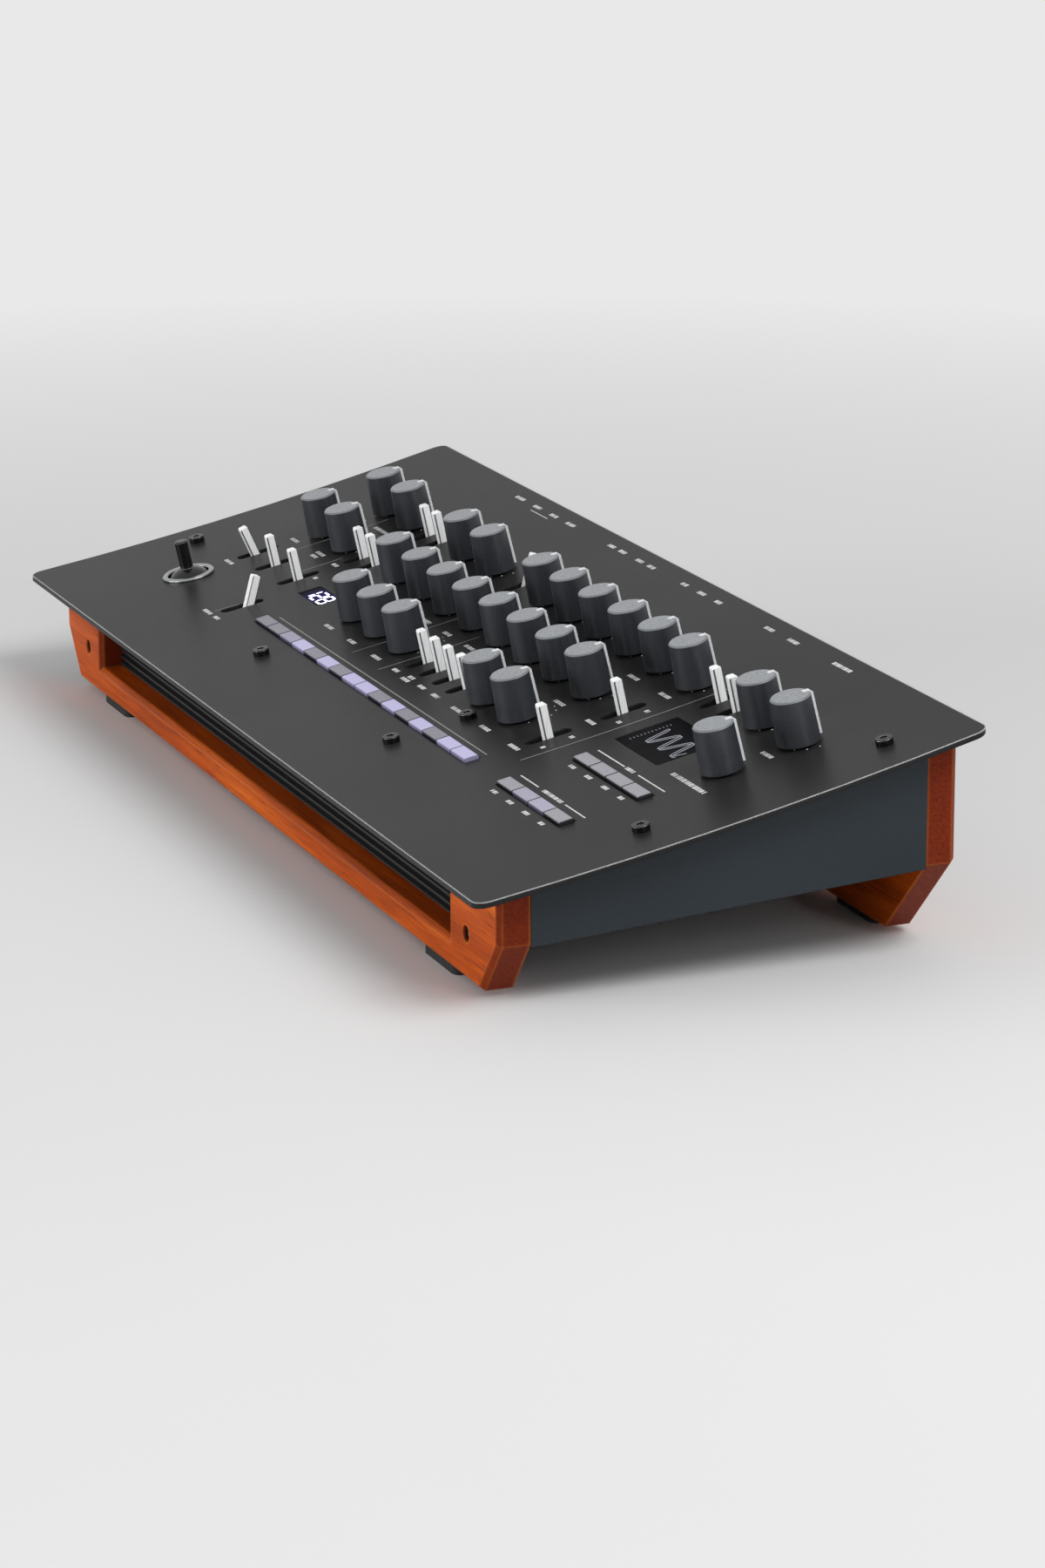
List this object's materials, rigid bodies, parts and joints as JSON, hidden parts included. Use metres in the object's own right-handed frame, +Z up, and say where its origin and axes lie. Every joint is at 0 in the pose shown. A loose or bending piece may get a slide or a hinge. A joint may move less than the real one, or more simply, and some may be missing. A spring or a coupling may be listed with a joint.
{
  "type": "desktop synthesizer module",
  "caption": "Wide desktop synthesizer module with a curved dark panel on wooden rails, turning knobs, bar levers, a joystick, lit buttons and a small screen.",
  "frame": {"origin": "centre of the footprint, on the surface that the feet stand on", "axes": "+X right along the panel, +Y to the rear, +Z up"},
  "size_m": [0.5, 0.181, 0.0873],
  "materials": {
    "panel": "dark charcoal satin coat on sheet metal",
    "tray": "dark blue-grey coat on sheet metal",
    "wood": "orange-brown stained wood, satin lacquer",
    "vent": "black",
    "connector": "black bodies with bright nuts",
    "board": "green circuit board with black parts",
    "screen": "black display glass",
    "screw": "black oxide",
    "foot": "matt black",
    "ring": "satin",
    "gimbal": "dark grey",
    "stick": "black",
    "knob": "dark blue-grey, satin, light pointer line",
    "lever": "bright satin metal",
    "button": "translucent light grey, some lit from inside"
  },
  "bodies": {
    "body": {"top_panel": "panel", "chassis": "tray", "front_rail": "wood", "rear_rail": "wood", "front_vent": "vent", "rear_sockets": "connector", "circuit_board": "board", "display_glass": "screen", "screws": "screw", "rubber_feet": "foot", "joystick_base": "ring"},
    "knob_row1_01": {"knob_row1_01": "knob"},
    "knob_row1_02": {"knob_row1_02": "knob"},
    "knob_row1_03": {"knob_row1_03": "knob"},
    "knob_row1_04": {"knob_row1_04": "knob"},
    "knob_row1_05": {"knob_row1_05": "knob"},
    "knob_row1_06": {"knob_row1_06": "knob"},
    "knob_row1_07": {"knob_row1_07": "knob"},
    "knob_row1_08": {"knob_row1_08": "knob"},
    "knob_row1_09": {"knob_row1_09": "knob"},
    "knob_row1_10": {"knob_row1_10": "knob"},
    "knob_row1_11": {"knob_row1_11": "knob"},
    "knob_row1_12": {"knob_row1_12": "knob"},
    "knob_row2_01": {"knob_row2_01": "knob"},
    "knob_row2_02": {"knob_row2_02": "knob"},
    "knob_row2_03": {"knob_row2_03": "knob"},
    "knob_row2_04": {"knob_row2_04": "knob"},
    "knob_row2_05": {"knob_row2_05": "knob"},
    "knob_row2_06": {"knob_row2_06": "knob"},
    "knob_row2_07": {"knob_row2_07": "knob"},
    "knob_row2_08": {"knob_row2_08": "knob"},
    "knob_row2_09": {"knob_row2_09": "knob"},
    "knob_row2_10": {"knob_row2_10": "knob"},
    "knob_row3_01": {"knob_row3_01": "knob"},
    "knob_row3_02": {"knob_row3_02": "knob"},
    "knob_row3_03": {"knob_row3_03": "knob"},
    "knob_row3_04": {"knob_row3_04": "knob"},
    "knob_row3_05": {"knob_row3_05": "knob"},
    "program_encoder": {"program_encoder": "knob"},
    "lever_row1_1": {"lever_row1_1": "lever"},
    "lever_row1_2": {"lever_row1_2": "lever"},
    "lever_row1_3": {"lever_row1_3": "lever"},
    "lever_row1_4": {"lever_row1_4": "lever"},
    "lever_row1_5": {"lever_row1_5": "lever"},
    "lever_row2_1": {"lever_row2_1": "lever"},
    "lever_row2_2": {"lever_row2_2": "lever"},
    "lever_row2_3": {"lever_row2_3": "lever"},
    "lever_row3_1": {"lever_row3_1": "lever"},
    "lever_row3_2": {"lever_row3_2": "lever"},
    "lever_row3_3": {"lever_row3_3": "lever"},
    "lever_row3_4": {"lever_row3_4": "lever"},
    "lever_row3_5": {"lever_row3_5": "lever"},
    "lever_row3_6": {"lever_row3_6": "lever"},
    "lever_row3_7": {"lever_row3_7": "lever"},
    "lever_row3_8": {"lever_row3_8": "lever"},
    "lever_row4_1": {"lever_row4_1": "lever"},
    "joystick_gimbal": {"joystick_gimbal": "gimbal"},
    "joystick": {"joystick": "stick"},
    "step_buttons": {"step_buttons": "button"},
    "function_buttons": {"function_buttons": "button"}
  },
  "joints": [
    {"name": "knob_row1_01_turn", "type": "hinge", "parent": "body", "child": "knob_row1_01", "pos_m": [-0.186, 0.04329, 0.06993], "axis": [0, -0.2144, 0.9767], "range_deg": [-150, 150]},
    {"name": "knob_row1_02_turn", "type": "hinge", "parent": "body", "child": "knob_row1_02", "pos_m": [-0.158, 0.04329, 0.06993], "axis": [0, -0.2144, 0.9767], "range_deg": [-150, 150]},
    {"name": "knob_row1_03_turn", "type": "hinge", "parent": "body", "child": "knob_row1_03", "pos_m": [-0.0995, 0.04329, 0.06993], "axis": [0, -0.2144, 0.9767], "range_deg": [-150, 150]},
    {"name": "knob_row1_04_turn", "type": "hinge", "parent": "body", "child": "knob_row1_04", "pos_m": [-0.071, 0.04329, 0.06993], "axis": [0, -0.2144, 0.9767], "range_deg": [-150, 150]},
    {"name": "knob_row1_05_turn", "type": "hinge", "parent": "body", "child": "knob_row1_05", "pos_m": [-0.0175, 0.04329, 0.06993], "axis": [0, -0.2144, 0.9767], "range_deg": [-150, 150]},
    {"name": "knob_row1_06_turn", "type": "hinge", "parent": "body", "child": "knob_row1_06", "pos_m": [0.0095, 0.04329, 0.06993], "axis": [0, -0.2144, 0.9767], "range_deg": [-150, 150]},
    {"name": "knob_row1_07_turn", "type": "hinge", "parent": "body", "child": "knob_row1_07", "pos_m": [0.037, 0.04329, 0.06993], "axis": [0, -0.2144, 0.9767], "range_deg": [-150, 150]},
    {"name": "knob_row1_08_turn", "type": "hinge", "parent": "body", "child": "knob_row1_08", "pos_m": [0.0645, 0.04329, 0.06993], "axis": [0, -0.2144, 0.9767], "range_deg": [-150, 150]},
    {"name": "knob_row1_09_turn", "type": "hinge", "parent": "body", "child": "knob_row1_09", "pos_m": [0.0918, 0.04329, 0.06993], "axis": [0, -0.2144, 0.9767], "range_deg": [-150, 150]},
    {"name": "knob_row1_10_turn", "type": "hinge", "parent": "body", "child": "knob_row1_10", "pos_m": [0.119, 0.04329, 0.06993], "axis": [0, -0.2144, 0.9767], "range_deg": [-150, 150]},
    {"name": "knob_row1_11_turn", "type": "hinge", "parent": "body", "child": "knob_row1_11", "pos_m": [0.1755, 0.04329, 0.06993], "axis": [0, -0.2144, 0.9767], "range_deg": [-150, 150]},
    {"name": "knob_row1_12_turn", "type": "hinge", "parent": "body", "child": "knob_row1_12", "pos_m": [0.203, 0.04329, 0.06993], "axis": [0, -0.2144, 0.9767], "range_deg": [-150, 150]},
    {"name": "knob_row2_01_turn", "type": "hinge", "parent": "body", "child": "knob_row2_01", "pos_m": [-0.186, 0.01529, 0.06331], "axis": [0, -0.2144, 0.9767], "range_deg": [-150, 150]},
    {"name": "knob_row2_02_turn", "type": "hinge", "parent": "body", "child": "knob_row2_02", "pos_m": [-0.158, 0.01529, 0.06331], "axis": [0, -0.2144, 0.9767], "range_deg": [-150, 150]},
    {"name": "knob_row2_03_turn", "type": "hinge", "parent": "body", "child": "knob_row2_03", "pos_m": [-0.0995, 0.01529, 0.06331], "axis": [0, -0.2144, 0.9767], "range_deg": [-150, 150]},
    {"name": "knob_row2_04_turn", "type": "hinge", "parent": "body", "child": "knob_row2_04", "pos_m": [-0.071, 0.01529, 0.06331], "axis": [0, -0.2144, 0.9767], "range_deg": [-150, 150]},
    {"name": "knob_row2_05_turn", "type": "hinge", "parent": "body", "child": "knob_row2_05", "pos_m": [-0.044, 0.01529, 0.06331], "axis": [0, -0.2144, 0.9767], "range_deg": [-150, 150]},
    {"name": "knob_row2_06_turn", "type": "hinge", "parent": "body", "child": "knob_row2_06", "pos_m": [-0.0175, 0.01529, 0.06331], "axis": [0, -0.2144, 0.9767], "range_deg": [-150, 150]},
    {"name": "knob_row2_07_turn", "type": "hinge", "parent": "body", "child": "knob_row2_07", "pos_m": [0.0095, 0.01529, 0.06331], "axis": [0, -0.2144, 0.9767], "range_deg": [-150, 150]},
    {"name": "knob_row2_08_turn", "type": "hinge", "parent": "body", "child": "knob_row2_08", "pos_m": [0.037, 0.01529, 0.06331], "axis": [0, -0.2144, 0.9767], "range_deg": [-150, 150]},
    {"name": "knob_row2_09_turn", "type": "hinge", "parent": "body", "child": "knob_row2_09", "pos_m": [0.0645, 0.01529, 0.06331], "axis": [0, -0.2144, 0.9767], "range_deg": [-150, 150]},
    {"name": "knob_row2_10_turn", "type": "hinge", "parent": "body", "child": "knob_row2_10", "pos_m": [0.0918, 0.01529, 0.06331], "axis": [0, -0.2144, 0.9767], "range_deg": [-150, 150]},
    {"name": "knob_row3_01_turn", "type": "hinge", "parent": "body", "child": "knob_row3_01", "pos_m": [-0.071, -0.01271, 0.05716], "axis": [0, -0.2144, 0.9767], "range_deg": [-150, 150]},
    {"name": "knob_row3_02_turn", "type": "hinge", "parent": "body", "child": "knob_row3_02", "pos_m": [-0.044, -0.01271, 0.05716], "axis": [0, -0.2144, 0.9767], "range_deg": [-150, 150]},
    {"name": "knob_row3_03_turn", "type": "hinge", "parent": "body", "child": "knob_row3_03", "pos_m": [-0.0175, -0.01271, 0.05716], "axis": [0, -0.2144, 0.9767], "range_deg": [-150, 150]},
    {"name": "knob_row3_04_turn", "type": "hinge", "parent": "body", "child": "knob_row3_04", "pos_m": [0.0645, -0.01271, 0.05716], "axis": [0, -0.2144, 0.9767], "range_deg": [-150, 150]},
    {"name": "knob_row3_05_turn", "type": "hinge", "parent": "body", "child": "knob_row3_05", "pos_m": [0.0918, -0.01271, 0.05716], "axis": [0, -0.2144, 0.9767], "range_deg": [-150, 150]},
    {"name": "program_encoder_turn", "type": "hinge", "parent": "body", "child": "program_encoder", "pos_m": [0.203, 0.01529, 0.06331], "axis": [0, -0.2144, 0.9767], "continuous": true},
    {"name": "lever_row1_1_tilt", "type": "hinge", "parent": "body", "child": "lever_row1_1", "pos_m": [-0.142, 0.04479, 0.06309], "axis": [-1, 0, 0], "range_deg": [-27, 27]},
    {"name": "lever_row1_2_tilt", "type": "hinge", "parent": "body", "child": "lever_row1_2", "pos_m": [-0.1285, 0.04479, 0.06309], "axis": [-1, 0, 0], "range_deg": [-27, 27]},
    {"name": "lever_row1_3_tilt", "type": "hinge", "parent": "body", "child": "lever_row1_3", "pos_m": [-0.046, 0.04479, 0.06309], "axis": [-1, 0, 0], "range_deg": [-54, 0]},
    {"name": "lever_row1_4_tilt", "type": "hinge", "parent": "body", "child": "lever_row1_4", "pos_m": [0.14, 0.04479, 0.06309], "axis": [-1, 0, 0], "range_deg": [-27, 27]},
    {"name": "lever_row1_5_tilt", "type": "hinge", "parent": "body", "child": "lever_row1_5", "pos_m": [0.1537, 0.04479, 0.06309], "axis": [-1, 0, 0], "range_deg": [-27, 27]},
    {"name": "lever_row2_1_tilt", "type": "hinge", "parent": "body", "child": "lever_row2_1", "pos_m": [-0.142, 0.01679, 0.05647], "axis": [-1, 0, 0], "range_deg": [-27, 27]},
    {"name": "lever_row2_2_tilt", "type": "hinge", "parent": "body", "child": "lever_row2_2", "pos_m": [-0.128, 0.01679, 0.05647], "axis": [-1, 0, 0], "range_deg": [-27, 27]},
    {"name": "lever_row2_3_tilt", "type": "hinge", "parent": "body", "child": "lever_row2_3", "pos_m": [0.1187, 0.01679, 0.05647], "axis": [-1, 0, 0], "range_deg": [-27, 27]},
    {"name": "lever_row3_1_tilt", "type": "hinge", "parent": "body", "child": "lever_row3_1", "pos_m": [-0.19, -0.01121, 0.05033], "axis": [-1, 0, 0], "range_deg": [-15, 39]},
    {"name": "lever_row3_2_tilt", "type": "hinge", "parent": "body", "child": "lever_row3_2", "pos_m": [-0.168, -0.01121, 0.05033], "axis": [-1, 0, 0], "range_deg": [-27, 27]},
    {"name": "lever_row3_3_tilt", "type": "hinge", "parent": "body", "child": "lever_row3_3", "pos_m": [-0.141, -0.01121, 0.05033], "axis": [-1, 0, 0], "range_deg": [-27, 27]},
    {"name": "lever_row3_4_tilt", "type": "hinge", "parent": "body", "child": "lever_row3_4", "pos_m": [0.0025, -0.01121, 0.05033], "axis": [-1, 0, 0], "range_deg": [-27, 27]},
    {"name": "lever_row3_5_tilt", "type": "hinge", "parent": "body", "child": "lever_row3_5", "pos_m": [0.0158, -0.01121, 0.05033], "axis": [-1, 0, 0], "range_deg": [-27, 27]},
    {"name": "lever_row3_6_tilt", "type": "hinge", "parent": "body", "child": "lever_row3_6", "pos_m": [0.0293, -0.01121, 0.05033], "axis": [-1, 0, 0], "range_deg": [-27, 27]},
    {"name": "lever_row3_7_tilt", "type": "hinge", "parent": "body", "child": "lever_row3_7", "pos_m": [0.0428, -0.01121, 0.05033], "axis": [-1, 0, 0], "range_deg": [-27, 27]},
    {"name": "lever_row3_8_tilt", "type": "hinge", "parent": "body", "child": "lever_row3_8", "pos_m": [0.1187, -0.01121, 0.05033], "axis": [-1, 0, 0], "range_deg": [-27, 27]},
    {"name": "lever_row4_1_tilt", "type": "hinge", "parent": "body", "child": "lever_row4_1", "pos_m": [-0.1276, -0.03921, 0.04464], "axis": [-1, 0, 0], "range_deg": [-54, 0]},
    {"name": "joystick_front_back", "type": "hinge", "parent": "body", "child": "joystick_gimbal", "pos_m": [-0.188, -0.041, 0.04328], "axis": [-1, 0, 0], "range_deg": [-18, 18], "stiffness_Nm_per_rad": 0.02},
    {"name": "joystick_left_right", "type": "hinge", "parent": "joystick_gimbal", "child": "joystick", "pos_m": [-0.188, -0.041, 0.04328], "axis": [0, 0.9767, 0.2144], "range_deg": [-18, 18], "stiffness_Nm_per_rad": 0.02},
    {"name": "step_buttons_press", "type": "slide", "parent": "body", "child": "step_buttons", "axis": [0, 0.2144, -0.9767], "range_m": [0, 0.001], "stiffness_N_per_m": 600, "springref_m": -0.001},
    {"name": "function_buttons_press", "type": "slide", "parent": "body", "child": "function_buttons", "axis": [0, 0.2144, -0.9767], "range_m": [0, 0.001], "stiffness_N_per_m": 600, "springref_m": -0.001}
  ]
}
